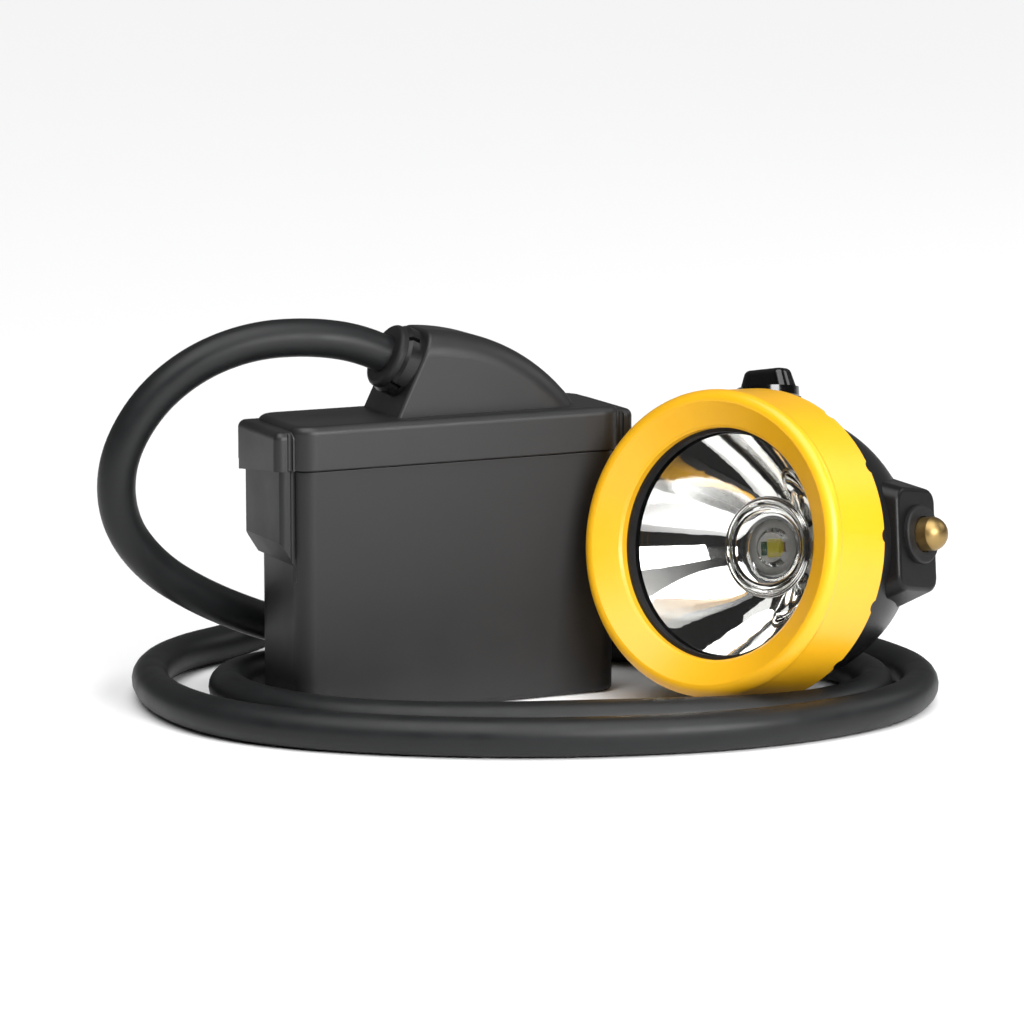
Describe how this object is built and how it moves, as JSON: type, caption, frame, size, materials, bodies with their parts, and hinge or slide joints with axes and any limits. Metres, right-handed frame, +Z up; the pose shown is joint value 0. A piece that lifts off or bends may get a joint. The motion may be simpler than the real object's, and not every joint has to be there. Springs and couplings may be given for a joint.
{
  "type": "cap lamp",
  "caption": "Cap lamp with a belt battery pack, a coiled rubber cable, and a round lamp head with a screw bezel, reflector, rotary switch, sprung charging contact and helmet hook.",
  "frame": {"origin": "middle of the battery pack's base face", "axes": "+X along the pack's width towards the lamp head, -Y the pack's front, +Z up"},
  "size_m": [0.2016, 0.1607, 0.0968],
  "materials": {
    "black_case": "moulded satin",
    "black_lid": "moulded satin",
    "gasket_rubber": "soft moulded",
    "cell_sleeve": "shrink sleeve over a steel can",
    "cradle_plastic": "moulded",
    "nickel_strip": "bare nickel",
    "board_laminate": "solder mask",
    "component_black": "moulded",
    "wire_red": "insulation",
    "screw_steel": "plain",
    "insert_brass": "turned",
    "gland_black": "moulded",
    "bush_rubber": "moulded",
    "cable_rubber": "satin extruded",
    "black_housing": "satin moulded",
    "yellow_bezel": "satin moulded",
    "clear_lens": "polished clear",
    "mirror_bowl": "vacuum metallised",
    "white_board": "white solder mask on metal core",
    "phosphor_yellow": "phosphor",
    "clear_dome": "clear moulded",
    "sink_aluminium": "machined",
    "shaft_steel": "turned",
    "knob_black": "gloss",
    "collar_black": "moulded",
    "contact_brass": "brushed",
    "spring_steel": "drawn wire",
    "hook_steel": "dull plated"
  },
  "bodies": {
    "lamp": {"pack_case": "black_case", "pack_lid": "black_lid", "lid_gasket": "gasket_rubber", "battery_cells": "cell_sleeve", "cell_cradle": "cradle_plastic", "cell_spacer": "cradle_plastic", "cell_strips": "nickel_strip", "protection_board": "board_laminate", "board_parts": "component_black", "pack_wires": "wire_red", "tie_screws": "screw_steel", "lid_inserts": "insert_brass", "pack_gland_nut": "gland_black", "pack_gland_bush": "bush_rubber", "pack_cable_tail": "cable_rubber", "lamp_cable": "cable_rubber", "lamp_housing": "black_housing", "bezel_ring": "yellow_bezel", "lens_gasket": "bush_rubber", "lens": "clear_lens", "reflector": "mirror_bowl", "led_board": "white_board", "led_emitter": "phosphor_yellow", "led_lens": "clear_dome", "heat_sink": "sink_aluminium", "sink_screws": "screw_steel", "driver_board": "board_laminate", "driver_parts": "component_black", "head_wires": "wire_red", "housing_seal": "bush_rubber", "switch_module": "component_black", "switch_washer": "bush_rubber", "contact_collar": "collar_black", "contact_spring": "spring_steel", "contact_strip": "contact_brass", "head_gland_nut": "gland_black", "head_gland_boot": "bush_rubber", "head_cable_tail": "cable_rubber", "helmet_hook": "hook_steel", "hook_screws": "screw_steel"},
    "switch": {"switch_knob": "knob_black", "switch_shaft": "shaft_steel"},
    "contact": {"contact_pin": "contact_brass", "contact_clip": "screw_steel"}
  },
  "joints": [
    {"name": "switch_turn", "type": "hinge", "parent": "lamp", "child": "switch", "pos_m": [0.07535, -0.03169, 0.07475], "axis": [0.0811, 0.2343, 0.9688], "range_deg": [-45, 45]},
    {"name": "contact_press", "type": "slide", "parent": "lamp", "child": "contact", "axis": [-0.4663, 0.868, -0.1708], "range_m": [0, 0.0015], "stiffness_N_per_m": 300, "springref_m": -0.004, "deforming": ["contact_spring"]}
  ]
}
